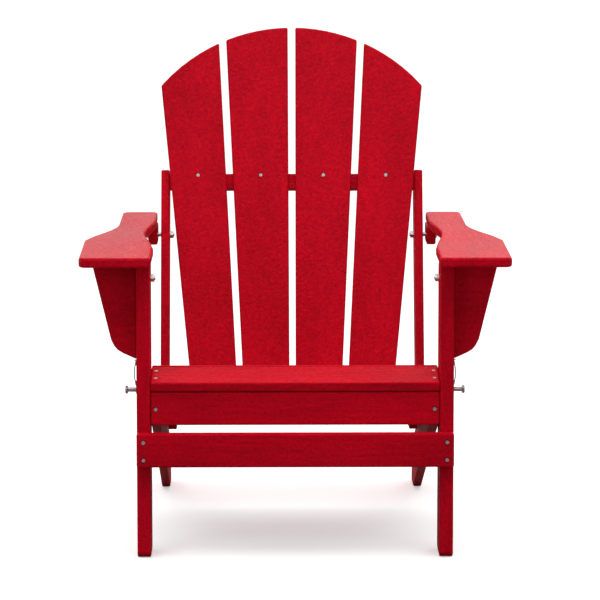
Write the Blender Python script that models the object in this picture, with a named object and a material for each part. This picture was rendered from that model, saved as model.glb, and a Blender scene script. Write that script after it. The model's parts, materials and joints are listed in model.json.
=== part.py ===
"""Folding adirondack chair in plastic lumber, in metres, +Z up, front towards -Y.

The origin is on the floor under the middle of the chair. Four groups fold on one
another: the seat frame, the back frame, the pair of arms and the front legs. Two
lock pins pass through the front legs into the seat rails.
"""

import math

import bmesh
import bpy
from mathutils import Matrix, Vector

# Overall sizes
CHAIR_DEPTH = 0.805
SEAT_ANGLE = math.radians(20.0)
BACK_LEAN = math.radians(18.0)
NOSE_ANGLE = math.radians(13.0)

# Lumber
BOARD = 0.018
EDGE_ROUND = 0.003
EDGE_STEPS = 2
TOUCH = 0.0003

# Front legs and stretcher
LEG_INSIDE = 0.262
LEG_THICK = 0.025
LEG_DEEP = 0.089
FOOT_CUT = 0.008
STRETCHER_LOW = 0.170
STRETCHER_HIGH = 0.232
STRETCHER_SCREWS = (("low", 0.24), ("high", 0.76))

# Arms
ARM_TOP = 0.555
ARM_OVERHANG = 0.045
ARM_LONG = 0.747
ARM_INSIDE = 0.259
ARM_CORNER = 0.014
ARM_SCOOP = 0.016
ARM_FLARE = 0.002
ARM_STRAIGHT = 0.275
ARM_SWEEP_START = 0.300
ARM_SWEEP_LONG = 0.225
ARM_SWEEP = ((0.0, 0.05), (0.18, 0.22), (0.38, 0.48), (0.60, 0.74), (0.82, 0.93), (1.0, 1.0))
SCOOP_STEPS = 8
ARM_NECK = 0.263
ARM_SCOOP_REAR = 0.600
ARM_SCOOP_LONG = 0.410
ARM_NOSE_LONG = 0.165
ARM_EDGE = 0.004
ARM_OUTSIDE = 0.388
ARM_TAIL_OUTSIDE = 0.336
ARM_TAIL_INSIDE = 0.267
ARM_TAIL_CORNER = 0.0084
BRACKET_HIGH = 0.176
BRACKET_WIDE = 0.080
BRACKET_FOOT_WIDE = 0.046
BRACKET_BACK = 0.030
BRACKET_TURN = 0.036
BRACKET_CURVE = ((0.024, 0.011), (0.034, 0.017), (0.040, 0.024))
CLEAT_HIGH = 0.066
CLEAT_LONG = 0.048
TAIL_CLEAT_HIGH = 0.037
TAIL_CLEAT_AHEAD = 0.040
TAIL_CLEAT_BEHIND = 0.046
TAIL_CLEAT_CORNER = 0.012
SIDE_GAP = 0.0005
PIVOT_GAP = 0.007

# Seat frame
RAIL_THICK = 0.017
RAIL_CLEAR = 0.001
HEEL_LEAN = 0.014
RAIL_FRONT_LOW = 0.244
CREST_BACK = 0.083
CREST_HIGH = 0.324
APRON_SETBACK = 0.003
APRON_HIGH = 0.061
SEAT_SLATS = 4
BRACE_ALONG = 0.150
BRACE_HIGH = 0.054
BRACE_TOP_GAP = 0.008
SLAT_WIDE = 0.084
SLAT_GAP = 0.008
NOSE_WIDE = 0.084
NOSE_ROOT = 0.004
NOSE_SCREW_REAR = 0.0252
NOSE_SCREW_GAP = 0.0031

# Back frame
UPRIGHT_INSIDE = 0.241
UPRIGHT_THICK = 0.017
UPRIGHT_DEEP = 0.060
UPRIGHT_TOP = 0.507
BACK_TOP = 0.792
BACK_ARC = 0.3404
ARC_STEPS = 6
BACK_SCREW_DROP = 0.0066
SLAT_EDGES = ((0.0058, 0.0022), (0.0924, 0.0489), (0.1040, 0.0523), (0.1905, 0.1002))
BACK_FOOT = 0.010
TOP_RAIL_HIGH = 0.032
TOP_RAIL_BELOW = 0.008
LOW_RAIL_BASE = 0.022
LOW_RAIL_HIGH = 0.045
HINGE_PLATE_THICK = 0.016
HINGE_EYE = 0.018
FOLD_GAP = 0.0015
STOP_GAP = 0.0003
PLATE_INSET = 0.006
PLATE_TOP = 0.085
PLATE_EDGE = 0.0015
PLATE_HEEL = (0.3, 0.5)

# Pivots and fasteners
HINGE_BELOW_RAIL_TOP = 0.014
HINGE_BEHIND_SLATS = 0.026
ARM_PIVOT_DROP = 0.020
LEG_PIVOT_DROP = 0.032
LEG_PIVOT_BACK = 0.065
BOLT_RADIUS = 0.004
BOLT_CLEAR = 0.0003
HEAD_RADIUS = 0.009
HEAD_HIGH = 0.004
CROWN_RADIUS = 0.005
SHOULDER_RADIUS = 0.0083
SHOULDER_HIGH = 0.0024
THREAD_PROUD = 0.002
BORE_OVERRUN = 0.004
NUT_RADIUS = 0.0075
NUT_HIGH = 0.0065
NUT_SIDES = 12
SCREW_RADIUS = 0.002
SCREW_HEAD = 0.0038
SCREW_HEAD_HIGH = 0.0025
SCREW_LONG = 0.030
SCREW_MOUTH = 0.002
SCREW_SIDES = 8
ROUND_SIDES = 16

# Lock pins
PIN_RADIUS = 0.004
PIN_BACK = 0.045
PIN_HIGH = 0.303
PIN_GRIP = 0.012
PIN_HEAD_RADIUS = 0.0075
PIN_HEAD_HIGH = 0.005
PIN_HEAD_OFF = 0.0035
PIN_EDGE = 0.0012
CORD_RADIUS = 0.0009
CORD_TOP_GAP = 0.004
CORD_FOOT_GAP = 0.006
CORD_BOW = 0.004
PIN_END_GAP = 0.0005
CORD_STEPS = 18

# Places worked out from the sizes
FRONT = ARM_OVERHANG - CHAIR_DEPTH / 2
LEG_OUTSIDE = LEG_INSIDE + LEG_THICK
ARM_BOTTOM = ARM_TOP - BOARD
RAIL_OUTSIDE = LEG_INSIDE - RAIL_CLEAR
RAIL_INSIDE = RAIL_OUTSIDE - RAIL_THICK
UPRIGHT_OUTSIDE = UPRIGHT_INSIDE + UPRIGHT_THICK
SLAT_HALF = LEG_INSIDE - SIDE_GAP
PLATE_OUTSIDE = UPRIGHT_INSIDE - TOUCH
PLATE_INSIDE = PLATE_OUTSIDE - HINGE_PLATE_THICK
CREST = Vector((0, FRONT + CREST_BACK, CREST_HIGH))
SEAT_TOP = BOARD + TOUCH


def seat_point(along, up, x=0.0):
    """A point by its way down the seat from the crest and its height over the rails."""
    sine, cosine = math.sin(SEAT_ANGLE), math.cos(SEAT_ANGLE)
    return CREST + Vector((x, along * cosine + up * sine, up * cosine - along * sine))


SEAT_BACK = SEAT_SLATS * SLAT_WIDE + (SEAT_SLATS - 1) * SLAT_GAP + TOUCH
HINGE = seat_point(SEAT_BACK + HINGE_BEHIND_SLATS, -HINGE_BELOW_RAIL_TOP)
HINGE_AHEAD = HINGE_BELOW_RAIL_TOP + SEAT_TOP + FOLD_GAP
BACK_UP = Vector((0, math.sin(BACK_LEAN), math.cos(BACK_LEAN)))
BACK_REAR = Vector((0, math.cos(BACK_LEAN), -math.sin(BACK_LEAN)))
BACK_FOOT_POINT = HINGE + HINGE_AHEAD * BACK_REAR


def back_point(up, rear, x=0.0):
    """A point by its way up the back and its depth behind the slats' front face."""
    return BACK_FOOT_POINT + up * BACK_UP + rear * BACK_REAR + Vector((x, 0, 0))


UPRIGHT_FRONT = BOARD + TOUCH
UPRIGHT_MIDDLE = UPRIGHT_FRONT + UPRIGHT_DEEP / 2
ARM_PIVOT_HIGH = ARM_BOTTOM - ARM_PIVOT_DROP
ARM_PIVOT_UP = (ARM_PIVOT_HIGH - back_point(0, UPRIGHT_MIDDLE).z) / BACK_UP.z
ARM_PIVOT = back_point(ARM_PIVOT_UP, UPRIGHT_MIDDLE)
LEG_PIVOT = Vector((0, FRONT + LEG_PIVOT_BACK, ARM_BOTTOM - LEG_PIVOT_DROP))
PIN_POINT = Vector((0, FRONT + PIN_BACK, PIN_HIGH))
PIN_DRAWN = PIN_GRIP + RAIL_CLEAR + TOUCH

PLASTIC = (0.62, 0.012, 0.022)
STEEL = (0.62, 0.60, 0.57)
CORD = (0.20, 0.19, 0.18)
SIDES = (("left", -1), ("right", 1))


def clear_scene():
    for obj in list(bpy.data.objects):
        bpy.data.objects.remove(obj, do_unlink=True)


def material(name, colour, roughness, metallic):
    made = bpy.data.materials.new(name)
    made.use_nodes = True
    shader = made.node_tree.nodes["Principled BSDF"]
    shader.inputs["Base Color"].default_value = (*colour, 1)
    shader.inputs["Roughness"].default_value = roughness
    shader.inputs["Metallic"].default_value = metallic
    return made


def joint_empty(name, place, parent=None):
    """An empty on a joint's axis, which the pieces of one body hang from."""
    empty = bpy.data.objects.new(name, None)
    empty.empty_display_size = 0.03
    bpy.context.scene.collection.objects.link(empty)
    empty.location = place
    if parent:
        empty.parent = parent
        empty.matrix_parent_inverse = Matrix.Translation(-Vector(parent["place"]))
    empty["place"] = tuple(place)
    return empty


def add_piece(name, bm, finish, body, metallic=False):
    """Makes one object from a world-space bmesh and hangs it on its body's empty."""
    bmesh.ops.remove_doubles(bm, verts=bm.verts, dist=1e-6)
    bmesh.ops.recalc_face_normals(bm, faces=bm.faces)
    place = Vector(body["place"])
    bmesh.ops.translate(bm, verts=bm.verts, vec=-place)
    mesh = bpy.data.meshes.new(name)
    bm.to_mesh(mesh)
    bm.free()
    roughness = 0.3 if metallic else 0.45
    mesh.materials.append(material(name, finish, roughness, 1.0 if metallic else 0.0))
    obj = bpy.data.objects.new(name, mesh)
    bpy.context.scene.collection.objects.link(obj)
    obj.parent = body
    return obj


def round_edges(obj, width=EDGE_ROUND, steps=EDGE_STEPS):
    bevel = obj.modifiers.new("round_edges", "BEVEL")
    bevel.width = width
    bevel.segments = steps
    bevel.limit_method = "ANGLE"
    bevel.angle_limit = math.radians(40)


def cut(obj, cutter):
    boolean = obj.modifiers.new("cut_" + cutter.name, "BOOLEAN")
    boolean.operation = "DIFFERENCE"
    boolean.solver = "EXACT"
    boolean.object = cutter


def prism(bm, outline, place, low, high):
    """A closed prism: the outline's 2-D points, set in space by place(a, b, depth)."""
    front = [bm.verts.new(place(a, b, low)) for a, b in outline]
    rear = [bm.verts.new(place(a, b, high)) for a, b in outline]
    bm.faces.new(front)
    bm.faces.new(list(reversed(rear)))
    count = len(outline)
    for i in range(count):
        j = (i + 1) % count
        bm.faces.new((front[i], rear[i], rear[j], front[j]))


def across(a, b, depth):
    """Outlines drawn in the side view, as Y and Z, run across the chair."""
    return Vector((depth, a, b))


def plan(a, b, depth):
    """Outlines drawn from above, as X and Y, run upwards."""
    return Vector((a, b, depth))


def facing(a, b, depth):
    """Outlines drawn in the front view, as X and Z, run to the rear."""
    return Vector((a, depth, b))


def on_back(a, b, depth):
    """Outlines drawn on the back, as X and way up, run to the rear."""
    return back_point(b, depth, a)


def board(name, outline, place, low, high, body, edge=EDGE_ROUND):
    bm = bmesh.new()
    prism(bm, outline, place, low, high)
    obj = add_piece(name, bm, PLASTIC, body)
    round_edges(obj, edge)
    return obj


def arc(centre, radius, start, end, steps):
    """Points on an arc, both ends included, from start to end in degrees."""
    turns = [math.radians(start + (end - start) * i / steps) for i in range(steps + 1)]
    return [(centre[0] + radius * math.cos(t), centre[1] + radius * math.sin(t)) for t in turns]


def turned(bm, profile, start, direction, sides):
    """A solid of revolution: (way along, radius) pairs about a line in space."""
    axis = Vector(direction).normalized()
    other = Vector((0, 0, 1)) if abs(axis.z) < 0.9 else Vector((0, 1, 0))
    first = axis.cross(other).normalized()
    second = axis.cross(first)
    rings = []
    for along, radius in profile:
        ring = []
        for i in range(sides):
            turn = 2 * math.pi * i / sides
            way = math.cos(turn) * first + math.sin(turn) * second
            ring.append(bm.verts.new(Vector(start) + along * axis + radius * way))
        rings.append(ring)
    bm.faces.new(rings[0])
    bm.faces.new(list(reversed(rings[-1])))
    for low, high in zip(rings, rings[1:]):
        for i in range(sides):
            j = (i + 1) % sides
            bm.faces.new((low[i], high[i], high[j], low[j]))


def make_cutter(name, shapes):
    """One hidden cutter from several turned shapes, each (profile, start, direction, sides)."""
    bm = bmesh.new()
    for profile, start, direction, sides in shapes:
        turned(bm, profile, start, direction, sides)
    bmesh.ops.recalc_face_normals(bm, faces=bm.faces)
    mesh = bpy.data.meshes.new(name)
    bm.to_mesh(mesh)
    bm.free()
    obj = bpy.data.objects.new(name, mesh)
    bpy.context.scene.collection.objects.link(obj)
    obj.hide_render = True
    obj.display_type = "WIRE"
    return obj


def screw_profile(grow):
    """Head then shank. The hole is the same shape, larger by grow, with an open mouth."""
    mouth = -SCREW_MOUTH if grow else 0.0
    step = SCREW_HEAD_HIGH + grow
    return [
        (mouth, SCREW_HEAD + grow),
        (step, SCREW_HEAD + grow),
        (step, SCREW_RADIUS + grow),
        (SCREW_LONG + grow, SCREW_RADIUS + grow),
    ]


def screw(name, place, direction, body, boards):
    """One screw, and its hole in the boards that it holds."""
    bm = bmesh.new()
    turned(bm, screw_profile(0), place, direction, SCREW_SIDES)
    add_piece(name, bm, STEEL, body, metallic=True)
    hole = [(screw_profile(TOUCH), place, direction, SCREW_SIDES)]
    cutter = make_cutter("hole_" + name, hole)
    for obj in boards:
        cut(obj, cutter)


def pivot_bolt(name, point, side, inside, outside, bolt_body, nut_body, boards):
    """A round-headed bolt across the chair, its nut inside, and its holes."""
    bm = bmesh.new()
    shank = outside - inside + TOUCH + NUT_HIGH + THREAD_PROUD
    head = [(0, CROWN_RADIUS), (SHOULDER_HIGH, SHOULDER_RADIUS), (HEAD_HIGH, HEAD_RADIUS)]
    profile = head + [(HEAD_HIGH, BOLT_RADIUS), (HEAD_HIGH + shank, BOLT_RADIUS)]
    start = Vector((side * (outside + TOUCH + HEAD_HIGH), point.y, point.z))
    turned(bm, profile, start, (-side, 0, 0), ROUND_SIDES)
    add_piece(f"{name}_bolt", bm, STEEL, bolt_body, metallic=True)
    bm = bmesh.new()
    gap = BOLT_RADIUS + BOLT_CLEAR
    hex_ring(bm, gap, point, side * (inside - TOUCH), side * (inside - TOUCH - NUT_HIGH))
    add_piece(f"{name}_nut", bm, STEEL, nut_body, metallic=True)
    mouth = Vector((side * (outside + BORE_OVERRUN), point.y, point.z))
    long = outside - inside + 2 * BORE_OVERRUN
    cutter = make_cutter("bore_" + name, [([(0, gap), (long, gap)], mouth, (-side, 0, 0), ROUND_SIDES)])
    for obj in boards:
        cut(obj, cutter)


def hex_ring(bm, bore, point, start_x, end_x):
    """A six-sided nut round a line across the chair, with a round bore."""
    flat = NUT_RADIUS * math.cos(math.pi / 6)
    loops = []
    rims = ((start_x, NUT_RADIUS, flat), (end_x, NUT_RADIUS, flat))
    rims += ((end_x, bore, bore), (start_x, bore, bore))
    for x, corner, side in rims:
        loop = []
        for i in range(NUT_SIDES):
            turn = 2 * math.pi * i / NUT_SIDES
            reach = side if i % 2 else corner
            spot = (x, point.y + reach * math.cos(turn), point.z + reach * math.sin(turn))
            loop.append(bm.verts.new(spot))
        loops.append(loop)
    for low, high in zip(loops, loops[1:] + loops[:1]):
        for i in range(NUT_SIDES):
            j = (i + 1) % NUT_SIDES
            bm.faces.new((low[i], high[i], high[j], low[j]))


def mirror_points(outline, side):
    return [(side * a, b) for a, b in outline]


def build_seat(body):
    """Two rails that run down to the rear feet, the slats, the front board and a brace."""
    slope = math.tan(SEAT_ANGLE)
    front = FRONT + APRON_SETBACK + BOARD + TOUCH
    heel = CHAIR_DEPTH / 2
    heel_top = heel - HEEL_LEAN
    outline = [
        (front, RAIL_FRONT_LOW),
        (front, CREST_HIGH - (CREST.y - front) * math.tan(NOSE_ANGLE)),
        (CREST.y, CREST_HIGH),
        (heel_top, CREST_HIGH - (heel_top - CREST.y) * slope),
        (heel, 0.0),
        (front + RAIL_FRONT_LOW / slope, 0.0),
    ]
    rails = []
    for label, side in SIDES:
        low, high = sorted((side * RAIL_INSIDE, side * RAIL_OUTSIDE))
        rails.append(board(f"seat_rail_{label}", outline, across, low, high, body))

    for number in range(SEAT_SLATS):
        start = TOUCH + number * (SLAT_WIDE + SLAT_GAP)
        end = start + SLAT_WIDE
        corners = [(start, TOUCH), (start, SEAT_TOP), (end, SEAT_TOP), (end, TOUCH)]
        outline = [(p.y, p.z) for p in (seat_point(*corner) for corner in corners)]
        board(f"seat_slat_{number + 2}", outline, across, -SLAT_HALF, SLAT_HALF, body)

    along = Vector((0, -math.cos(NOSE_ANGLE), -math.sin(NOSE_ANGLE)))
    up = Vector((0, -math.sin(NOSE_ANGLE), math.cos(NOSE_ANGLE)))
    corners = [(NOSE_ROOT, TOUCH), (NOSE_ROOT, SEAT_TOP), (NOSE_WIDE, SEAT_TOP), (NOSE_WIDE, TOUCH)]
    outline = [(p.y, p.z) for p in (CREST + a * along + b * up for a, b in corners)]
    nose_slat = board("seat_slat_1", outline, across, -SLAT_HALF, SLAT_HALF, body)

    rear, high = FRONT + APRON_SETBACK + BOARD, RAIL_FRONT_LOW + APRON_HIGH
    outline = [(rear - BOARD, RAIL_FRONT_LOW), (rear - BOARD, high), (rear, high), (rear, RAIL_FRONT_LOW)]
    apron = board("front_board", outline, across, -SLAT_HALF, SLAT_HALF, body)

    top, low = -BRACE_TOP_GAP, -BRACE_TOP_GAP - BRACE_HIGH
    end = BRACE_ALONG + BOARD
    corners = [(BRACE_ALONG, low), (BRACE_ALONG, top), (end, top), (end, low)]
    outline = [(p.y, p.z) for p in (seat_point(*corner) for corner in corners)]
    half = RAIL_INSIDE - TOUCH
    board("seat_brace", outline, across, -half, half, body)

    rail_x = (RAIL_INSIDE + RAIL_OUTSIDE) / 2
    for (label, side), rail in zip(SIDES, rails):
        behind_apron = (CREST.y - rear - NOSE_SCREW_GAP) / math.cos(NOSE_ANGLE)
        for row, down in (("rear", NOSE_SCREW_REAR), ("front", behind_apron)):
            place = CREST + down * along + SEAT_TOP * up + Vector((side * rail_x, 0, 0))
            screw(f"seat_screw_{row}_{label}", place, -up, body, [nose_slat, rail])
        place = Vector((side * rail_x, rear - BOARD, RAIL_FRONT_LOW + APRON_HIGH / 2))
        screw(f"front_board_screw_{label}", place, (0, 1, 0), body, [apron, rail])
    return rails


def slat_edge(number, up):
    """How far out from the middle an edge of a back slat lies at this way up the back."""
    start, slope = SLAT_EDGES[number]
    return start + slope * up


def arc_height(x):
    return BACK_TOP - BACK_ARC + math.sqrt(BACK_ARC**2 - x**2)


def back_slat_outline(inner, outer, side):
    """A slat that widens upwards and ends on the arc across the top of the back."""
    tops = []
    for number in (inner, outer):
        up = BACK_TOP
        for _ in range(8):
            up = arc_height(slat_edge(number, up))
        tops.append(slat_edge(number, up))
    outline = [(slat_edge(inner, BACK_FOOT), BACK_FOOT), (slat_edge(outer, BACK_FOOT), BACK_FOOT)]
    for i in range(ARC_STEPS + 1):
        x = tops[1] + (tops[0] - tops[1]) * i / ARC_STEPS
        outline.append((x, arc_height(x)))
    return mirror_points(outline, side)


def build_back(body, rails):
    """Four slats on two rails between the uprights, on hinge plates inside the seat rails."""
    rail_rear = UPRIGHT_FRONT + BOARD
    half = UPRIGHT_INSIDE - TOUCH
    rail_top = UPRIGHT_TOP - TOP_RAIL_BELOW
    low, high = rail_top - TOP_RAIL_HIGH, rail_top
    outline = [(-half, low), (half, low), (half, high), (-half, high)]
    top_rail = board("back_rail_top", outline, on_back, UPRIGHT_FRONT, rail_rear, body)
    half = PLATE_INSIDE - TOUCH
    low, high = LOW_RAIL_BASE, LOW_RAIL_BASE + LOW_RAIL_HIGH
    outline = [(-half, low), (half, low), (half, high), (-half, high)]
    board("back_rail_low", outline, on_back, UPRIGHT_FRONT, rail_rear, body)

    screw_up = rail_top - BACK_SCREW_DROP
    for label, side in SIDES:
        for place, inner, outer in (("inner", 0, 1), ("outer", 2, 3)):
            name = f"back_slat_{place}_{label}"
            slat = board(name, back_slat_outline(inner, outer, side), on_back, 0.0, BOARD, body)
            middle = side * (slat_edge(inner, screw_up) + slat_edge(outer, screw_up)) / 2
            spot = back_point(screw_up, 0.0, middle)
            screw(f"back_screw_{place}_{label}", spot, BACK_REAR, body, [slat, top_rail])

    over_rails = Vector((0, math.sin(SEAT_ANGLE), math.cos(SEAT_ANGLE)))
    upright_rear = UPRIGHT_FRONT + UPRIGHT_DEEP
    feet = []
    for rear in (UPRIGHT_FRONT, upright_rear):
        height = (back_point(0, rear) - CREST).dot(over_rails)
        feet.append((STOP_GAP - height) / BACK_UP.dot(over_rails))
    corners = [(feet[0], UPRIGHT_FRONT), (UPRIGHT_TOP, UPRIGHT_FRONT), (UPRIGHT_TOP, upright_rear)]
    corners.append((feet[1], upright_rear))
    upright_outline = [(p.y, p.z) for p in (back_point(*corner) for corner in corners)]
    eye = [(b, a) for a, b in arc((-HINGE_AHEAD, 0), HINGE_EYE, 90, 270, 8)]
    heel = (feet[1] * PLATE_HEEL[0], upright_rear * PLATE_HEEL[1])
    plate = eye + [heel, (feet[1], upright_rear - PLATE_INSET)]
    plate += [(PLATE_TOP, upright_rear - PLATE_INSET), (PLATE_TOP, UPRIGHT_FRONT), (HINGE_EYE, 0)]
    plate_outline = [(p.y, p.z) for p in (back_point(*corner) for corner in plate)]
    for (label, side), rail in zip(SIDES, rails):
        low, high = sorted((side * UPRIGHT_INSIDE, side * UPRIGHT_OUTSIDE))
        uprights[label] = board(f"back_upright_{label}", upright_outline, across, low, high, body)
        low, high = sorted((side * PLATE_INSIDE, side * PLATE_OUTSIDE))
        plate = board(f"hinge_plate_{label}", plate_outline, across, low, high, body, PLATE_EDGE)
        name = f"back_pivot_{label}"
        pivot_bolt(name, HINGE, side, PLATE_INSIDE, RAIL_OUTSIDE, seat_axis, body, [rail, plate])


def arm_outline(side):
    """The arm from above: a wide front, a scoop inside, and a narrow tail."""
    front = FRONT - ARM_OVERHANG
    rear = front + ARM_LONG
    corner, small = ARM_CORNER, ARM_TAIL_CORNER
    outline = arc((ARM_OUTSIDE - corner, front + corner), corner, -90, 0, 4)
    outline += [(ARM_OUTSIDE + ARM_FLARE, front + ARM_STRAIGHT)]
    for share, fall in ARM_SWEEP:
        x = ARM_OUTSIDE + (ARM_TAIL_OUTSIDE - ARM_OUTSIDE) * fall
        outline.append((x, front + ARM_SWEEP_START + ARM_SWEEP_LONG * share))
    outline += arc((ARM_TAIL_OUTSIDE - corner, rear - corner), corner, 0, 90, 3)
    outline += arc((ARM_TAIL_INSIDE + small, rear - small), small, 90, 180, 3)
    outline += [(ARM_TAIL_INSIDE - ARM_FLARE, front + ARM_SCOOP_REAR)]
    for turn in range(1, SCOOP_STEPS):
        share = turn / SCOOP_STEPS
        bow = math.sin(math.pi * share) ** 2
        straight = ARM_TAIL_INSIDE + (ARM_NECK - ARM_TAIL_INSIDE) * share
        outline.append((straight + ARM_SCOOP * bow, front + ARM_SCOOP_REAR - ARM_SCOOP_LONG * share))
    outline += [(ARM_INSIDE, front + ARM_NOSE_LONG)]
    outline += arc((ARM_INSIDE + small, front + small), small, 180, 270, 3)
    return mirror_points(outline, side)


def build_arms(body):
    """Each arm with its front bracket and the two cleats that its pivots go through."""
    for label, side in SIDES:
        board(f"arm_{label}", arm_outline(side), plan, ARM_BOTTOM, ARM_TOP, body, ARM_EDGE)
        under = ARM_BOTTOM - TOUCH
        near = LEG_OUTSIDE + SIDE_GAP
        start = FRONT + BRACKET_BACK
        foot = under - BRACKET_HIGH
        edge = near + BRACKET_FOOT_WIDE
        outline = [(near, under), (near, foot)]
        outline += [(near + out, foot + rise) for out, rise in BRACKET_CURVE]
        outline += [(edge, foot + BRACKET_TURN), (near + BRACKET_WIDE, under)]
        outline = mirror_points(outline, side)
        board(f"arm_bracket_{label}", outline, facing, start, start + BOARD, body)

        rear = start + BOARD + TOUCH
        outline = [(rear, under), (rear, under - CLEAT_HIGH)]
        outline += [(rear + CLEAT_LONG, under - CLEAT_HIGH), (rear + CLEAT_LONG, under)]
        low, high = sorted((side * near, side * (near + BOARD)))
        cleat = board(f"arm_cleat_front_{label}", outline, across, low, high, body)
        name = f"leg_pivot_{label}"
        pivot_bolt(name, LEG_PIVOT, side, LEG_INSIDE, near + BOARD, body, legs_axis, [cleat, legs[label]])

        near = UPRIGHT_OUTSIDE + PIVOT_GAP
        ahead, behind = ARM_PIVOT.y - TAIL_CLEAT_AHEAD, ARM_PIVOT.y + TAIL_CLEAT_BEHIND
        low = under - TAIL_CLEAT_HIGH
        corner = TAIL_CLEAT_CORNER
        outline = [(ahead, under), (ahead, low + corner), (ahead + corner, low)]
        outline += [(behind - corner, low), (behind, low + corner), (behind, under)]
        low, high = sorted((side * near, side * (near + BOARD)))
        cleat = board(f"arm_cleat_rear_{label}", outline, across, low, high, body)
        name = f"arm_pivot_{label}"
        boards = [cleat, uprights[label]]
        pivot_bolt(name, ARM_PIVOT, side, UPRIGHT_INSIDE, near + BOARD, body, back_axis, boards)


def leg_outline():
    """A front leg from the side, with its top rear corner round the pivot, to turn under the arm."""
    rear = FRONT + LEG_DEEP
    reach = LEG_PIVOT_DROP - TOUCH
    top = LEG_PIVOT.z + reach
    outline = [(FRONT, FOOT_CUT), (FRONT, top), (LEG_PIVOT.y, top)]
    end = math.degrees(math.acos((rear - LEG_PIVOT.y) / reach))
    outline += arc((LEG_PIVOT.y, LEG_PIVOT.z), reach, 90, end, 5)[1:]
    return outline + [(rear, FOOT_CUT), (rear - FOOT_CUT, 0.0), (FRONT + FOOT_CUT, 0.0)]


def build_legs(body):
    """The two front legs and the stretcher on their faces."""
    outline = leg_outline()
    for label, side in SIDES:
        low, high = sorted((side * LEG_INSIDE, side * LEG_OUTSIDE))
        legs[label] = board(f"front_leg_{label}", outline, across, low, high, body)
    face = FRONT - TOUCH
    outline = [(face - BOARD, STRETCHER_LOW), (face - BOARD, STRETCHER_HIGH)]
    outline += [(face, STRETCHER_HIGH), (face, STRETCHER_LOW)]
    stretcher = board("front_stretcher", outline, across, -LEG_OUTSIDE, LEG_OUTSIDE, body)
    middle = (LEG_INSIDE + LEG_OUTSIDE) / 2
    high = STRETCHER_HIGH - STRETCHER_LOW
    for label, side in SIDES:
        for row, share in STRETCHER_SCREWS:
            place = Vector((side * middle, face - BOARD, STRETCHER_LOW + share * high))
            boards = [stretcher, legs[label]]
            screw(f"stretcher_screw_{row}_{label}", place, (0, 1, 0), body, boards)


def build_pin(label, side, body, rail):
    """A lock pin, drawn just clear of the seat rail, with its bore, and the cord that keeps it."""
    tip = LEG_INSIDE + TOUCH
    head = LEG_OUTSIDE + PIN_HEAD_OFF + PIN_DRAWN
    profile = [(0, PIN_RADIUS - PIN_EDGE), (PIN_EDGE, PIN_RADIUS), (head - tip, PIN_RADIUS)]
    profile += [(head - tip, PIN_HEAD_RADIUS - PIN_EDGE), (head - tip + PIN_EDGE, PIN_HEAD_RADIUS)]
    profile += [(head - tip + PIN_HEAD_HIGH - PIN_EDGE, PIN_HEAD_RADIUS)]
    profile += [(head - tip + PIN_HEAD_HIGH, PIN_HEAD_RADIUS - PIN_EDGE)]
    bm = bmesh.new()
    start = Vector((side * tip, PIN_POINT.y, PIN_POINT.z))
    turned(bm, profile, start, (side, 0, 0), ROUND_SIDES)
    add_piece(f"lock_pin_{label}", bm, STEEL, body, metallic=True)
    deep = RAIL_OUTSIDE - PIN_GRIP - PIN_END_GAP
    hole = PIN_RADIUS + BOLT_CLEAR
    bore = [(0, hole), (LEG_OUTSIDE + BORE_OVERRUN - deep, hole)]
    mouth = Vector((side * deep, PIN_POINT.y, PIN_POINT.z))
    cutter = make_cutter(f"bore_lock_pin_{label}", [(bore, mouth, (side, 0, 0), ROUND_SIDES)])
    cut(rail, cutter)
    cut(legs[label], cutter)

    out = LEG_OUTSIDE + CORD_RADIUS + TOUCH
    top = ARM_BOTTOM - BRACKET_HIGH - CORD_TOP_GAP
    foot = PIN_POINT.z + CORD_FOOT_GAP
    curve = bpy.data.curves.new(f"pin_cord_{label}", "CURVE")
    curve.dimensions = "3D"
    curve.bevel_depth = CORD_RADIUS
    curve.bevel_resolution = 2
    curve.use_fill_caps = True
    spline = curve.splines.new("POLY")
    spline.points.add(CORD_STEPS)
    place = Vector(legs_axis["place"])
    for i, point in enumerate(spline.points):
        share = i / CORD_STEPS
        bow = math.sin(math.pi * share)
        spot = Vector((side * (out + CORD_BOW * bow), PIN_POINT.y, top + (foot - top) * share))
        point.co = (*(spot - place), 1)
    curve.materials.append(material(f"pin_cord_{label}", CORD, 0.4, 0.6))
    cord = bpy.data.objects.new(f"pin_cord_{label}", curve)
    bpy.context.scene.collection.objects.link(cord)
    cord.parent = legs_axis


clear_scene()
uprights = {}
legs = {}
seat_axis = joint_empty("seat_frame", Vector((0, 0, 0)))
back_axis = joint_empty("back_frame", HINGE, seat_axis)
arms_axis = joint_empty("arms", ARM_PIVOT, back_axis)
legs_axis = joint_empty("front_legs", LEG_PIVOT, arms_axis)
seat_rails = build_seat(seat_axis)
build_back(back_axis, seat_rails)
build_legs(legs_axis)
build_arms(arms_axis)
for (side_label, side_sign), seat_rail in zip(SIDES, seat_rails):
    pin_place = Vector((side_sign * LEG_OUTSIDE, PIN_POINT.y, PIN_POINT.z))
    pin_axis = joint_empty(f"lock_pin_slide_{side_label}", pin_place, legs_axis)
    build_pin(side_label, side_sign, pin_axis, seat_rail)
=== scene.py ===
"""Looks of a folding adirondack chair in plastic lumber, laid out as a Blender add-on.

Run it as a script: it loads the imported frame, sets the stage, finishes every board
and fitting, and models the screws, the lock pins and their cords.
"""

import json
import math

import bpy
from mathutils import Matrix, Vector


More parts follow.
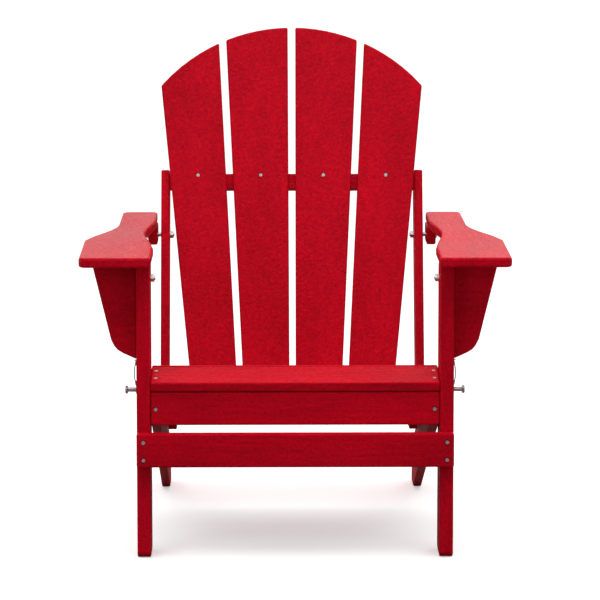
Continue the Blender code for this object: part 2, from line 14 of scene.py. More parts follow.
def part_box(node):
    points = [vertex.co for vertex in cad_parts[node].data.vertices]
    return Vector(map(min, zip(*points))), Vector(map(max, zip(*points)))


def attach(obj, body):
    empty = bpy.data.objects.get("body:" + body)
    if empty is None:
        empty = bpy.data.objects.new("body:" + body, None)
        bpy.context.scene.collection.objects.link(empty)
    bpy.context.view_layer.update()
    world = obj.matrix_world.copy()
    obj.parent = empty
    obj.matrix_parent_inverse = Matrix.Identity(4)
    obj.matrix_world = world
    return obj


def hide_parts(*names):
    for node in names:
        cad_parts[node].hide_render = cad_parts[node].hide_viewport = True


bl_info = {
    "name": "Adirondack Chair Looks",
    "version": (1, 0, 0),
    "blender": (4, 5, 0),
    "location": "View3D > Sidebar > Adirondack",
    "description": "Finishes the boards, screws, lock pins and cords of a folding garden chair",
    "category": "Object",
}

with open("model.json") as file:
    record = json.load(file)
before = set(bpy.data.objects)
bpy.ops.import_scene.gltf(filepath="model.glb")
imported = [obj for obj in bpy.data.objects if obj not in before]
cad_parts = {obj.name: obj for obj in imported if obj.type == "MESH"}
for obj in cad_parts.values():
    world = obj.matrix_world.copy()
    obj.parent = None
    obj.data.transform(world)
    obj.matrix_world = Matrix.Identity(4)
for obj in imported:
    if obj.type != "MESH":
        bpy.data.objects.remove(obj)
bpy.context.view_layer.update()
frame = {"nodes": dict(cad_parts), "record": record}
NODES = frame["nodes"]
BODY_OF = {node: body for body, nodes in frame["record"]["behaviour"]["bodies"].items() for node in nodes}
SIDES = (("left", -1), ("right", 1))
FRONT_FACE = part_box("front_leg_left")[0][1]
LEG_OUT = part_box("front_leg_right")[1][0]

# Slopes of the chair's boards
SEAT_ANGLE = math.radians(20.0)
NOSE_ANGLE = math.radians(13.0)
BACK_LEAN = math.radians(18.0)
QUARTER = math.pi / 2

# Surface of the lumber and the steel
BUMP_STRENGTH = 0.8
STREAK_STRETCH = (0.11, 1.0, 1.0)
PATTERN_STEP = 0.37
LUMBER_GLOSS = 0.05
STEEL_MARK_DEPTH = 0.00005
CABLE_SHADE = 0.42

# Screws
HEAD_HIGH = 0.0026
DRIVE_DEEP = 0.0014
DRIVE_PINCH = 0.62
DRIVE_WINDOW = (22, 38)
SHANK_LONG = 0.026
TIP_LONG = 0.0015
HEAD_CUT = -0.0018
SCREW_LONG = 0.030
SLAT_RISE = 0.009
SLAT_SCREW_REACH = 0.021
PROUD = 0.0003

# Lock pins and their cords
PIN_RADIUS = 0.004
PIN_TIP_ROUND = 0.0014
PIN_HEAD_LONG = 0.005
PIN_CROWN = 0.86
PIN_GROOVE = 0.88
PIN_FACE = 0.72
STRANDS = 3
STRAND_STEPS = 96
STRAND_TURNS = 11
STRAND_ROUNDING = 2
CRIMP_LONG = 0.007
CRIMP_SIDES = 16
EYE_RADIUS = 0.0062
EYE_WIRE = 0.0007
EYE_OFF = 0.0016
STAPLE_RADIUS = 0.0034
STAPLE_WIRE = 0.0009
STAPLE_OFF = 0.0012

# Studio
FLOOR_SIZE = 60
FLOOR_DROP = 0.0005
FLOOR_LIFT = 0.42
DIM_STUDIO = 0.02
BACKDROP_GLOW = 1.35
CEILING_GLOW = 0.85
CAMERA_DOWN = 7.79
CAMERA_ASIDE = -0.67
SENSOR = 36
VIEW_END = 100
SOFT_BOXES = (
    ("overhead", (0.0, -1.5, 4.2), (0, 0, 0.4), 3.0, 92.0),
    ("front_left", (-2.6, -3.2, 1.5), (0, 0, 0.45), 1.8, 21.0),
    ("front_right", (2.6, -3.2, 1.5), (0, 0, 0.45), 1.8, 17.0),
)

# Boards by the way their grain runs

ACROSS = ("seat_slat_1", "seat_slat_2", "seat_slat_3", "seat_slat_4", "seat_slat_5", "front_board")
ACROSS += ("seat_brace", "front_stretcher", "back_rail_top", "back_rail_low")
ACROSS += ("arm_bracket_left", "arm_bracket_right")
UP_LEG = ("front_leg_left", "front_leg_right", "arm_cleat_front_left", "arm_cleat_front_right")
UP_BACK = ("back_slat_inner_left", "back_slat_inner_right", "back_slat_outer_left", "back_slat_outer_right")
UP_BACK += ("back_upright_left", "back_upright_right", "hinge_plate_left", "hinge_plate_right")
ALONG_ARM = ("arm_left", "arm_right", "arm_cleat_rear_left", "arm_cleat_rear_right")
DOWN_RAIL = ("seat_rail_left", "seat_rail_right")


class LumberLook(bpy.types.PropertyGroup):
    """Colour and surface of the plastic lumber."""

    colour: bpy.props.FloatVectorProperty(
        name="Colour",
        description="Colour of the plastic lumber",
        subtype="COLOR",
        size=3,
        min=0,
        max=1,
        default=(0.585, 0.0016, 0.0140),
    )
    roughness: bpy.props.FloatProperty(
        name="Roughness",
        description="How matt the boards are",
        subtype="FACTOR",
        min=0,
        max=1,
        default=0.42,
    )
    grain_size: bpy.props.FloatProperty(
        name="Grain Size",
        description="Width of one embossed pebble",
        unit="LENGTH",
        min=0.0005,
        default=0.0062,
    )
    grain_depth: bpy.props.FloatProperty(
        name="Grain Depth",
        description="Depth of the embossed grain",
        unit="LENGTH",
        min=0,
        default=0.0022,
    )


class HardwareLook(bpy.types.PropertyGroup):
    """Sizes and colour of the screws, pins and cords."""

    steel: bpy.props.FloatVectorProperty(
        name="Steel",
        description="Colour of the steel",
        subtype="COLOR",
        size=3,
        min=0,
        max=1,
        default=(0.34, 0.31, 0.29),
    )
    screw_radius: bpy.props.FloatProperty(
        name="Screw Radius",
        description="Radius of a screw's head",
        unit="LENGTH",
        min=0.001,
        default=0.0032,
    )
    cord_radius: bpy.props.FloatProperty(
        name="Cord Radius",
        description="Radius of a lock pin's cord",
        unit="LENGTH",
        min=0.0004,
        default=0.0010,
    )


class StageLook(bpy.types.PropertyGroup):
    """Floor, light and camera."""

    floor_colour: bpy.props.FloatVectorProperty(
        name="Floor",
        description="Colour of the floor",
        subtype="COLOR",
        size=3,
        min=0,
        max=1,
        default=(0.9, 0.9, 0.9),
    )
    floor_bounce: bpy.props.FloatProperty(
        name="Floor Bounce",
        description="How much light the floor throws back",
        subtype="FACTOR",
        min=0,
        max=1,
        default=0.22,
    )
    camera_away: bpy.props.FloatProperty(
        name="Camera Distance",
        description="From the front legs to the camera",
        unit="LENGTH",
        min=1,
        default=6.285,
    )
    camera_high: bpy.props.FloatProperty(
        name="Camera Height",
        description="Height of the camera",
        unit="LENGTH",
        min=0.1,
        default=1.333,
    )
    camera_aside: bpy.props.FloatProperty(
        name="Camera Offset",
        description="How far left of the middle the camera stands",
        unit="LENGTH",
        default=0.065,
    )
    lens: bpy.props.FloatProperty(
        name="Lens",
        description="Focal length in millimetres",
        min=10,
        default=211.4,
    )


def deselect():
    """Leaves nothing selected and no object in edit mode."""
    if bpy.context.mode != "OBJECT":
        bpy.ops.object.mode_set(mode="OBJECT")
    bpy.ops.object.select_all(action="DESELECT")


def activate(obj):
    deselect()
    obj.select_set(True)
    bpy.context.view_layer.objects.active = obj


def clear_selection(obj):
    """In object mode, leaves no face, edge or vertex of the mesh selected."""
    bpy.ops.object.mode_set(mode="OBJECT")
    for elements in (obj.data.polygons, obj.data.edges, obj.data.vertices):
        elements.foreach_set("select", [False] * len(elements))


def select_faces(obj, keep):
    """In edit mode, selects the faces for which keep(centre, normal) is true."""
    clear_selection(obj)
    for polygon in obj.data.polygons:
        polygon.select = bool(keep(polygon.center, polygon.normal))
        if polygon.select:
            for index in polygon.vertices:
                obj.data.vertices[index].select = True
    bpy.ops.object.mode_set(mode="EDIT")
    bpy.ops.mesh.select_mode(type="FACE")


def select_vertices(obj, indices):
    """In edit mode, selects these vertices."""
    clear_selection(obj)
    for index in indices:
        obj.data.vertices[index].select = True
    bpy.ops.object.mode_set(mode="EDIT")
    bpy.ops.mesh.select_mode(type="VERT")


def faces_up(centre, normal):
    return normal.z > 0.9


def faces_down(centre, normal):
    return normal.z < -0.9


def faces_end(centre, normal):
    return abs(normal.z) > 0.9


def new_group(name, inputs, outputs):
    """An empty shader node group with named sockets."""
    group = bpy.data.node_groups.new(name, "ShaderNodeTree")
    for label, kind, value in inputs:
        socket = group.interface.new_socket(name=label, in_out="INPUT", socket_type=kind)
        if value is not None:
            socket.default_value = value
    for label, kind in outputs:
        group.interface.new_socket(name=label, in_out="OUTPUT", socket_type=kind)
    return group, group.nodes.new("NodeGroupInput"), group.nodes.new("NodeGroupOutput")


def math_node(group, kind, first, second=None, third=None):
    node = group.nodes.new("ShaderNodeMath")
    node.operation = kind
    for index, value in enumerate((first, second, third)):
        if value is None:
            continue
        if isinstance(value, (int, float)):
            node.inputs[index].default_value = value
        else:
            group.links.new(value, node.inputs[index])
    return node.outputs[0]


def noise_node(group, vector, scale, detail, roughness=0.5):
    node = group.nodes.new("ShaderNodeTexNoise")
    node.inputs["Detail"].default_value = detail
    node.inputs["Roughness"].default_value = roughness
    group.links.new(vector, node.inputs["Vector"])
    if isinstance(scale, (int, float)):
        node.inputs["Scale"].default_value = scale
    else:
        group.links.new(scale, node.inputs["Scale"])
    return node.outputs["Fac"]


def remap(group, value, low, high, out_low, out_high):
    node = group.nodes.new("ShaderNodeMapRange")
    group.links.new(value, node.inputs["Value"])
    for label, number in (("From Min", low), ("From Max", high), ("To Min", out_low), ("To Max", out_high)):
        node.inputs[label].default_value = number
    return node.outputs["Result"]


def lumber_surface():
    """The embossed, pebbled skin of moulded plastic lumber: colour, roughness and height. The colour carries
    painted shade in the hollows of the grain and a painted highlight on its crests.
    """
    name = "Lumber Surface"
    if name in bpy.data.node_groups:
        return bpy.data.node_groups[name]
    inputs = (
        ("Vector", "NodeSocketVector", None),
        ("Colour", "NodeSocketColor", (0.5, 0.0, 0.0, 1.0)),
        ("Roughness", "NodeSocketFloat", 0.45),
        ("Grain Scale", "NodeSocketFloat", 300.0),
    )
    outputs = (("Colour", "NodeSocketColor"), ("Roughness", "NodeSocketFloat"), ("Height", "NodeSocketFloat"))
    group, enter, leave = new_group(name, inputs, outputs)
    vector = enter.outputs["Vector"]
    stretch = group.nodes.new("ShaderNodeVectorMath")
    stretch.operation = "MULTIPLY"
    stretch.inputs[1].default_value = STREAK_STRETCH
    group.links.new(vector, stretch.inputs[0])
    grain_scale = enter.outputs["Grain Scale"]
    pebble = noise_node(group, vector, grain_scale, 3.0, 0.55)
    streak = noise_node(group, stretch.outputs[0], math_node(group, "MULTIPLY", grain_scale, 0.8), 3.0, 0.6)
    broad = noise_node(group, stretch.outputs[0], 14.0, 2.0)
    cloud = noise_node(group, vector, 5.0, 2.0)
    height = math_node(group, "MULTIPLY_ADD", streak, 0.55, math_node(group, "MULTIPLY", pebble, 0.75))
    tone = remap(group, broad, 0.3, 0.7, 0.90, 1.08)
    tone = math_node(group, "MULTIPLY", tone, remap(group, cloud, 0.3, 0.7, 0.94, 1.06))
    # Painted shade and highlight: the colour is darkened in the hollows of the embossed grain and lightened
    # on its crests, following the bump height
    tone = math_node(group, "MULTIPLY", tone, remap(group, height, 0.45, 0.85, 0.80, 1.18))
    tint = group.nodes.new("ShaderNodeVectorMath")
    tint.operation = "SCALE"
    group.links.new(enter.outputs["Colour"], tint.inputs[0])
    group.links.new(tone, tint.inputs["Scale"])
    rough = math_node(group, "ADD", enter.outputs["Roughness"], remap(group, pebble, 0.3, 0.7, 0.06, -0.06))
    rough = math_node(group, "ADD", rough, remap(group, cloud, 0.3, 0.7, -0.03, 0.03))
    group.links.new(tint.outputs[0], leave.inputs["Colour"])
    group.links.new(rough, leave.inputs["Roughness"])
    group.links.new(height, leave.inputs["Height"])
    return group


def bump_to(tree, height, depth, shader):
    bump = tree.nodes.new("ShaderNodeBump")
    bump.inputs["Strength"].default_value = BUMP_STRENGTH
    bump.inputs["Distance"].default_value = depth
    tree.links.new(height, bump.inputs["Height"])
    tree.links.new(bump.outputs["Normal"], shader.inputs["Normal"])


def new_material(name):
    made = bpy.data.materials.new(name)
    made.use_nodes = True
    return made, made.node_tree, made.node_tree.nodes["Principled BSDF"]


def lumber_material(name, turn, shift=0.0, tone=1.0):
    """Plastic lumber whose grain runs along local X once the pattern is turned."""
    look = bpy.context.scene.lumber_look
    made, tree, shader = new_material(name)
    place = tree.nodes.new("ShaderNodeTexCoord")
    mapping = tree.nodes.new("ShaderNodeMapping")
    mapping.vector_type = "TEXTURE"
    mapping.inputs["Rotation"].default_value = turn
    mapping.inputs["Location"].default_value = (shift, shift * 0.7, shift * 0.3)
    surface = tree.nodes.new("ShaderNodeGroup")
    surface.node_tree = lumber_surface()
    surface.inputs["Colour"].default_value = (*(channel * tone for channel in look.colour), 1)
    surface.inputs["Roughness"].default_value = look.roughness
    surface.inputs["Grain Scale"].default_value = 1 / look.grain_size
    tree.links.new(place.outputs["Object"], mapping.inputs["Vector"])
    tree.links.new(mapping.outputs["Vector"], surface.inputs["Vector"])
    tree.links.new(surface.outputs["Colour"], shader.inputs["Base Color"])
    tree.links.new(surface.outputs["Roughness"], shader.inputs["Roughness"])
    bump_to(tree, surface.outputs["Height"], look.grain_depth, shader)
    shader.inputs["Specular IOR Level"].default_value = LUMBER_GLOSS
    return made


def brushed_surface():
    """Fine turning marks and dull spots on steel: colour, roughness and height."""
    name = "Brushed Surface"
    if name in bpy.data.node_groups:
        return bpy.data.node_groups[name]
    inputs = (("Vector", "NodeSocketVector", None), ("Colour", "NodeSocketColor", (0.6, 0.6, 0.6, 1.0)))
    outputs = (("Colour", "NodeSocketColor"), ("Roughness", "NodeSocketFloat"), ("Height", "NodeSocketFloat"))
    group, enter, leave = new_group(name, inputs, outputs)
    spots = noise_node(group, enter.outputs["Vector"], 700.0, 3.0)
    marks = noise_node(group, enter.outputs["Vector"], 4000.0, 1.0)
    tint = group.nodes.new("ShaderNodeVectorMath")
    tint.operation = "SCALE"
    group.links.new(enter.outputs["Colour"], tint.inputs[0])
    group.links.new(remap(group, spots, 0.3, 0.7, 0.72, 1.05), tint.inputs["Scale"])
    group.links.new(tint.outputs[0], leave.inputs["Colour"])
    group.links.new(remap(group, spots, 0.3, 0.7, 0.42, 0.24), leave.inputs["Roughness"])
    group.links.new(marks, leave.inputs["Height"])
    return group


def steel_material(name, shade=1.0):
    look = bpy.context.scene.hardware_look
    made, tree, shader = new_material(name)
    place = tree.nodes.new("ShaderNodeTexCoord")
    surface = tree.nodes.new("ShaderNodeGroup")
    surface.node_tree = brushed_surface()
    surface.inputs["Colour"].default_value = (*(channel * shade for channel in look.steel), 1)
    tree.links.new(place.outputs["Object"], surface.inputs["Vector"])
    tree.links.new(surface.outputs["Colour"], shader.inputs["Base Color"])
    tree.links.new(surface.outputs["Roughness"], shader.inputs["Roughness"])
    bump_to(tree, surface.outputs["Height"], STEEL_MARK_DEPTH, shader)
    shader.inputs["Metallic"].default_value = 1.0
    return made


def shared_material(name, make, *values):
    """The material of that name, made once."""
    return bpy.data.materials.get(name) or make(name, *values)


def steel():
    return shared_material("stainless_steel", steel_material)


def dark_steel():
    return shared_material("cable_steel", steel_material, CABLE_SHADE)


def settle(obj, name, body, finish, replaced=()):
    """Names a finished piece, fixes its place in its mesh, and hands it to the frame."""
    activate(obj)
    bpy.ops.object.transform_apply(location=True, rotation=True, scale=True)
    obj.name = name
    obj.data.name = name
    obj.data.materials.clear()
    obj.data.materials.append(finish)
    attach(obj, body)
    if replaced:
        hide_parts(*replaced)
    deselect()
    return obj


def turn_to(direction):
    """The matrix that takes +Z to this direction."""
    return Vector(direction).to_track_quat("Z", "Y").to_matrix().to_4x4()


def copy_of(obj):
    """A copy with its own mesh."""
    copy = obj.copy()
    copy.data = obj.data.copy()
    bpy.context.scene.collection.objects.link(copy)
    return copy


def smooth(obj, degrees=35):
    activate(obj)
    bpy.ops.object.shade_smooth_by_angle(angle=math.radians(degrees))


def screw_master():
    """One screw at the origin, its head facing up, with a star-shaped drive."""
    radius = bpy.context.scene.hardware_look.screw_radius

    def crown(centre, normal):
        return faces_up(centre, normal) and centre.length < radius * 0.2

    deselect()
    place = (0, 0, -HEAD_HIGH / 2)
    bpy.ops.mesh.primitive_cylinder_add(vertices=24, radius=radius, depth=HEAD_HIGH, location=place)
    obj = bpy.context.object
    select_faces(obj, crown)
    bpy.ops.mesh.bevel(offset=radius * 0.16, segments=2, affect="EDGES")
    select_faces(obj, crown)
    bpy.ops.mesh.inset(thickness=radius * 0.36)
    select_faces(obj, crown)
    select_vertices(obj, star_corners(obj))
    bpy.ops.transform.resize(value=(DRIVE_PINCH, DRIVE_PINCH, 1), center_override=(0, 0, 0))
    select_faces(obj, crown)
    bpy.ops.mesh.extrude_region_move(TRANSFORM_OT_translate={"value": (0, 0, -DRIVE_DEEP)})
    bpy.ops.object.mode_set(mode="OBJECT")
    select_faces(obj, faces_down)
    bpy.ops.mesh.inset(thickness=radius * 0.48)
    bpy.ops.mesh.extrude_region_move(TRANSFORM_OT_translate={"value": (0, 0, -SHANK_LONG)})
    bpy.ops.mesh.extrude_region_move(TRANSFORM_OT_translate={"value": (0, 0, -TIP_LONG)})
    bpy.ops.transform.resize(value=(0.4, 0.4, 1), center_override=(0, 0, -SCREW_LONG))
    bpy.ops.object.mode_set(mode="OBJECT")
    smooth(obj)
    return obj


def star_corners(obj):
    """The corners of the selected face that are pulled in, one group in each sixth of a turn."""
    bpy.ops.object.mode_set(mode="OBJECT")
    found = []
    for polygon in obj.data.polygons:
        if not polygon.select:
            continue
        for index in polygon.vertices:
            spot = obj.data.vertices[index].co
            turn = math.degrees(math.atan2(spot.y, spot.x)) % 60
            if DRIVE_WINDOW[0] <= turn <= DRIVE_WINDOW[1]:
                found.append(index)
    return found


class CHAIR_OT_lumber(bpy.types.Operator):
    """Give every board its embossed plastic lumber finish"""

    bl_idname = "chair.lumber"
    bl_label = "Finish the Boards"

    def execute(self, context):
        runs = (
            (ACROSS, (0, 0, 0)),
            (UP_LEG, (0, QUARTER, 0)),
            (UP_BACK, (0, -QUARTER, BACK_LEAN)),
            (ALONG_ARM, (0, 0, QUARTER)),
            (DOWN_RAIL, (0, 0, QUARTER)),
        )
        count = 0
        for nodes, turn in runs:
            for node in nodes:
                tone = 1.0 + 0.02 * math.sin(2.3 * count)
                finish = lumber_material(f"lumber_{node}", turn, PATTERN_STEP * count, tone)
                NODES[node].material_slots[0].material = finish
                count += 1
        return {"FINISHED"}


class CHAIR_OT_fittings(bpy.types.Operator):
    """Give the pivot bolts and nuts a brushed steel finish"""

    bl_idname = "chair.fittings"
    bl_label = "Finish the Bolts and Nuts"

    def execute(self, context):
        for node, obj in NODES.items():
            if node.endswith(("bolt", "nut")):
                obj.material_slots[0].material = steel()
        return {"FINISHED"}


class CHAIR_OT_screws(bpy.types.Operator):
    """Set a star-drive screw at every fixing of the slats, boards and stretcher"""

    bl_idname = "chair.screws"
    bl_label = "Set the Screws"

    def execute(self, context):
        master = screw_master()
        back = Vector((0, -math.cos(BACK_LEAN), math.sin(BACK_LEAN)))
        nose = Vector((0, -math.sin(NOSE_ANGLE), math.cos(NOSE_ANGLE)))
        facing = {"stretcher_screw": Vector((0, -1, 0)), "front_board_screw": Vector((0, -1, 0))}
        facing.update({"back_screw": back, "seat_screw": nose})
        for node in sorted(NODES):
            kind = next((start for start in facing if node.startswith(start)), None)
            if kind is None:
                continue
            direction = facing[kind]
            low, high = (Vector(corner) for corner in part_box(node))
            centre = (low + high) / 2
            piece = copy_of(master)
            reach = SCREW_LONG / 2
            piece.data.transform(Matrix.Translation(centre + direction * reach) @ turn_to(direction))
            settle(piece, f"{node}_star", BODY_OF[node], steel(), (node,))
        self.seat_screws(master)
        bpy.data.objects.remove(master)
        return {"FINISHED"}

    def seat_screws(self, master):
        """Screw heads on the four sloping slats, two at each end."""
        up = Vector((0, math.sin(SEAT_ANGLE), math.cos(SEAT_ANGLE)))
        along = Vector((0, math.cos(SEAT_ANGLE), -math.sin(SEAT_ANGLE)))
        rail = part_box("seat_rail_right")
        rail_x = (rail[0][0] + rail[1][0]) / 2
        for number in range(2, 6):
            low, high = (Vector(corner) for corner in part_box(f"seat_slat_{number}"))
            middle = Vector((0, (low.y + high.y) / 2, (low.z + high.z) / 2)) + up * SLAT_RISE
            for label, side in SIDES:
                for row, reach in (("front", -SLAT_SCREW_REACH), ("rear", SLAT_SCREW_REACH)):
                    piece = screw_head_only(master)
                    spot = middle + along * reach + Vector((side * rail_x, 0, 0)) + up * PROUD
                    piece.data.transform(Matrix.Translation(spot) @ turn_to(up))
                    name = f"slat_{number}_screw_{row}_{label}"
                    settle(piece, name, "seat_frame", steel())


def screw_head_only(master):
    """A copy of the screw cut off just under its head's rim."""
    piece = copy_of(master)
    activate(piece)
    bpy.ops.object.mode_set(mode="EDIT")
    bpy.ops.mesh.select_all(action="SELECT")
    bpy.ops.mesh.bisect(plane_co=(0, 0, HEAD_CUT), plane_no=(0, 0, 1), clear_inner=True, use_fill=True)
    bpy.ops.object.mode_set(mode="OBJECT")
    return piece


class CHAIR_OT_pins(bpy.types.Operator):
    """Model the lock pins and the cords that keep them"""

    bl_idname = "chair.pins"
    bl_label = "Make the Lock Pins"

    def execute(self, context):
        for label, side in SIDES:
            self.pin(label, side)
            self.cord(label, side)
        return {"FINISHED"}

    def pin(self, label, side):
        """A turned pin: rounded tip, shank and a grooved head."""
        node = f"lock_pin_{label}"
        low, high = (Vector(corner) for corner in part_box(node))
        centre = (low + high) / 2
        radius = (high.z - low.z) / 2
        long = high.x - low.x
        deselect()
        middle = (0, 0, long / 2)
        bpy.ops.mesh.primitive_cylinder_add(vertices=32, radius=PIN_RADIUS, depth=long, location=middle)
        obj = bpy.context.object
        bpy.ops.object.transform_apply(location=True, rotation=True, scale=True)
        select_faces(obj, faces_down)
        bpy.ops.mesh.bevel(offset=PIN_TIP_ROUND, segments=3, affect="EDGES")
        select_faces(obj, faces_up)
        bpy.ops.transform.translate(value=(0, 0, -PIN_HEAD_LONG))
        crown = radius / PIN_RADIUS * PIN_CROWN
        steps = ((0.0, crown), (0.0008, 1 / PIN_CROWN), (0.0012, 1.0), (0.0005, PIN_GROOVE))
        steps += ((0.0005, 1 / PIN_GROOVE), (0.0010, 1.0), (0.0010, PIN_FACE))
        for rise, scale in steps:
            bpy.ops.mesh.extrude_region_move(TRANSFORM_OT_translate={"value": (0, 0, rise)})
            bpy.ops.transform.resize(value=(scale, scale, 1), center_override=(0, 0, 0))
        bpy.ops.object.mode_set(mode="OBJECT")
        smooth(obj, 40)
        start = Vector((low.x if side > 0 else high.x, centre.y, centre.z))
        obj.data.transform(Matrix.Translation(start) @ turn_to((side, 0, 0)))
        settle(obj, f"pin_body_{label}", node, steel(), (node,))

    def cord(self, label, side):
        """A short twisted cable crimped at each end, with an eye round the pin and a staple on the leg."""
        node = f"pin_cord_{label}"
        low, high = (Vector(corner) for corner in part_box(node))
        thick = bpy.context.scene.hardware_look.cord_radius
        x_near = min(abs(low.x), abs(high.x)) + thick
        bow = max(abs(low.x), abs(high.x)) - thick - x_near
        middle_y = (low.y + high.y) / 2
        strands = []
        for strand in range(STRANDS):
            points = []
            for i in range(STRAND_STEPS + 1):
                share = i / STRAND_STEPS
                turn = 2 * math.pi * (share * STRAND_TURNS + strand / STRANDS)
                out = x_near + bow * math.sin(math.pi * share) + 0.5 * thick * math.cos(turn)
                down = high.z + (low.z - high.z) * share
                points.append((side * out, middle_y + 0.5 * thick * math.sin(turn), down))
            strands.append(tube_along(points, thick * 0.5))
        crimps = []
        for z in (high.z - 0.006, low.z + 0.007):
            deselect()
            spot = (side * (x_near + 0.0006), middle_y, z)
            size = {"vertices": CRIMP_SIDES, "radius": thick * 1.7, "depth": CRIMP_LONG}
            bpy.ops.mesh.primitive_cylinder_add(location=spot, **size)
            crimp = bpy.context.object
            select_faces(crimp, faces_end)
            bpy.ops.mesh.bevel(offset=0.0005, segments=2, affect="EDGES")
            bpy.ops.object.mode_set(mode="OBJECT")
            smooth(crimp, 40)
            crimps.append(crimp)
        deselect()
        for obj in strands + crimps:
            obj.select_set(True)
        bpy.context.view_layer.objects.active = strands[0]
        bpy.ops.object.join()
        settle(strands[0], f"pin_cable_{label}", "front_legs", dark_steel(), (node,))
        eye = wire_ring(EYE_RADIUS, EYE_WIRE)
        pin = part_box(f"lock_pin_{label}")
        pin_z = (pin[0][2] + pin[1][2]) / 2
        spot = Matrix.Translation((side * (LEG_OUT + EYE_OFF), middle_y, pin_z))
        eye.data.transform(spot @ turn_to((1, 0, 0)))
        settle(eye, f"cable_eye_{label}", "front_legs", dark_steel())
        staple = wire_ring(STAPLE_RADIUS, STAPLE_WIRE)
        spot = Matrix.Translation((side * (LEG_OUT + STAPLE_OFF), middle_y, high.z))
        staple.data.transform(spot @ turn_to((0, 0, 1)))
        settle(staple, f"cable_staple_{label}", "front_legs", steel())


def wire_ring(radius, thick):
    """A wire ring at the origin, lying flat."""
    deselect()
    size = {"major_radius": radius, "minor_radius": thick}
    bpy.ops.mesh.primitive_torus_add(major_segments=36, minor_segments=10, **size)
    obj = bpy.context.object
    smooth(obj, 60)
    return obj


def tube_along(points, radius):
    """A round tube through the points, as a mesh."""
    deselect()
    curve = bpy.data.curves.new("strand", "CURVE")
    curve.dimensions = "3D"
    curve.bevel_depth = radius
    curve.bevel_resolution = STRAND_ROUNDING
    curve.use_fill_caps = True
    spline = curve.splines.new("POLY")
    spline.points.add(len(points) - 1)
    for point, spot in zip(spline.points, points):
        point.co = (*spot, 1)
    obj = bpy.data.objects.new("strand", curve)
    bpy.context.scene.collection.objects.link(obj)
    activate(obj)
    bpy.ops.object.convert(target="MESH")
    return bpy.context.object


def floor_paint(look):
    """Pale floor paint that throws little light back up at the object."""
    made, tree, shader = new_material("floor_paint")
    rays = tree.nodes.new("ShaderNodeLightPath")
    seen = rays.outputs["Is Camera Ray"]
    paint = remap(tree, seen, 0.0, 1.0, look.floor_bounce, look.floor_colour[0])
    glow = remap(tree, seen, 0.0, 1.0, 0.0, FLOOR_LIFT)
    tree.links.new(paint, shader.inputs["Base Color"])
    tree.links.new(glow, shader.inputs["Emission Strength"])
    shader.inputs["Emission Color"].default_value = (1, 1, 1, 1)
    shader.inputs["Roughness"].default_value = 0.9
    shader.inputs["Specular IOR Level"].default_value = 0.1
    return made


def studio_world(scene):
    """A white backdrop that lights the object from behind and above, with a dim studio in front."""
    world = bpy.data.worlds.new("studio")
    scene.world = world
    world.use_nodes = True
    tree = world.node_tree
    background = tree.nodes["Background"]
    place = tree.nodes.new("ShaderNodeTexCoord")
    split = tree.nodes.new("ShaderNodeSeparateXYZ")
    tree.links.new(place.outputs["Generated"], split.inputs[0])
    behind = remap(tree, split.outputs["Y"], -0.1, 0.5, DIM_STUDIO, BACKDROP_GLOW)
    above = remap(tree, split.outputs["Z"], 0.35, 0.95, DIM_STUDIO, CEILING_GLOW)
    glow = math_node(tree, "MAXIMUM", behind, above)
    rays = tree.nodes.new("ShaderNodeLightPath")
    seen = math_node(tree, "MAXIMUM", glow, rays.outputs["Is Camera Ray"])
    tree.links.new(seen, background.inputs["Strength"])
    background.inputs["Color"].default_value = (1, 1, 1, 1)


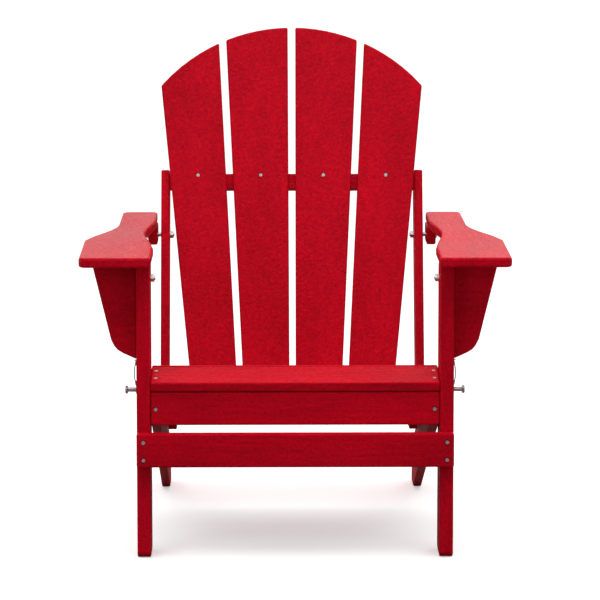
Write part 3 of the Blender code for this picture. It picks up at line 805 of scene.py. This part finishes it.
class CHAIR_OT_stage(bpy.types.Operator):
    """Lay the pale floor and set the lights and the camera"""

    bl_idname = "chair.stage"
    bl_label = "Set the Stage"

    def execute(self, context):
        look = context.scene.stage_look
        deselect()
        bpy.ops.mesh.primitive_plane_add(size=FLOOR_SIZE, location=(0, 0, -FLOOR_DROP))
        floor = context.object
        floor.name = "floor"
        floor.data.materials.append(floor_paint(look))
        self.lights()
        self.camera(look)
        studio_world(context.scene)
        context.scene.view_settings.view_transform = "Standard"
        context.scene.view_settings.look = "None"
        return {"FINISHED"}

    def lights(self):
        """A broad soft box overhead, and a weaker one at each side in front."""
        for name, place, aim, size, power in SOFT_BOXES:
            deselect()
            bpy.ops.object.light_add(type="AREA", location=place)
            light = bpy.context.object
            light.name = f"soft_box_{name}"
            light.data.shape = "SQUARE"
            light.data.size = size
            light.data.energy = power
            light.rotation_euler = (Vector(aim) - Vector(place)).to_track_quat("-Z", "Y").to_euler()

    def camera(self, look):
        deselect()
        place = (-look.camera_aside, FRONT_FACE - look.camera_away, look.camera_high)
        turn = (math.radians(90 - CAMERA_DOWN), 0, math.radians(CAMERA_ASIDE))
        bpy.ops.object.camera_add(location=place, rotation=turn)
        camera = bpy.context.object
        camera.name = "camera"
        camera.data.lens = look.lens
        camera.data.sensor_width = SENSOR
        camera.data.clip_end = VIEW_END
        bpy.context.scene.camera = camera


class CHAIR_PT_panel(bpy.types.Panel):
    """The chair's steps, in the sidebar"""

    bl_idname = "CHAIR_PT_panel"
    bl_label = "Adirondack Chair"
    bl_space_type = "VIEW_3D"
    bl_region_type = "UI"
    bl_category = "Adirondack"

    def draw(self, context):
        for name in STEPS:
            self.layout.operator(f"chair.{name}")
        for look in ("lumber_look", "hardware_look", "stage_look"):
            group = getattr(context.scene, look)
            for key in group.__annotations__:
                self.layout.prop(group, key)


STEPS = ("stage", "lumber", "fittings", "screws", "pins")
LOOKS = {"lumber_look": LumberLook, "hardware_look": HardwareLook, "stage_look": StageLook}
OPERATORS = (CHAIR_OT_stage, CHAIR_OT_lumber, CHAIR_OT_fittings, CHAIR_OT_screws, CHAIR_OT_pins)
CLASSES = (*LOOKS.values(), *OPERATORS, CHAIR_PT_panel)


def register():
    for cls in CLASSES:
        bpy.utils.register_class(cls)
    for name, look in LOOKS.items():
        setattr(bpy.types.Scene, name, bpy.props.PointerProperty(type=look))


def unregister():
    for name in LOOKS:
        delattr(bpy.types.Scene, name)
    for cls in reversed(CLASSES):
        bpy.utils.unregister_class(cls)


def main():
    register()
    for step in STEPS:
        getattr(bpy.ops.chair, step)()


if __name__ == "__main__":
    main()
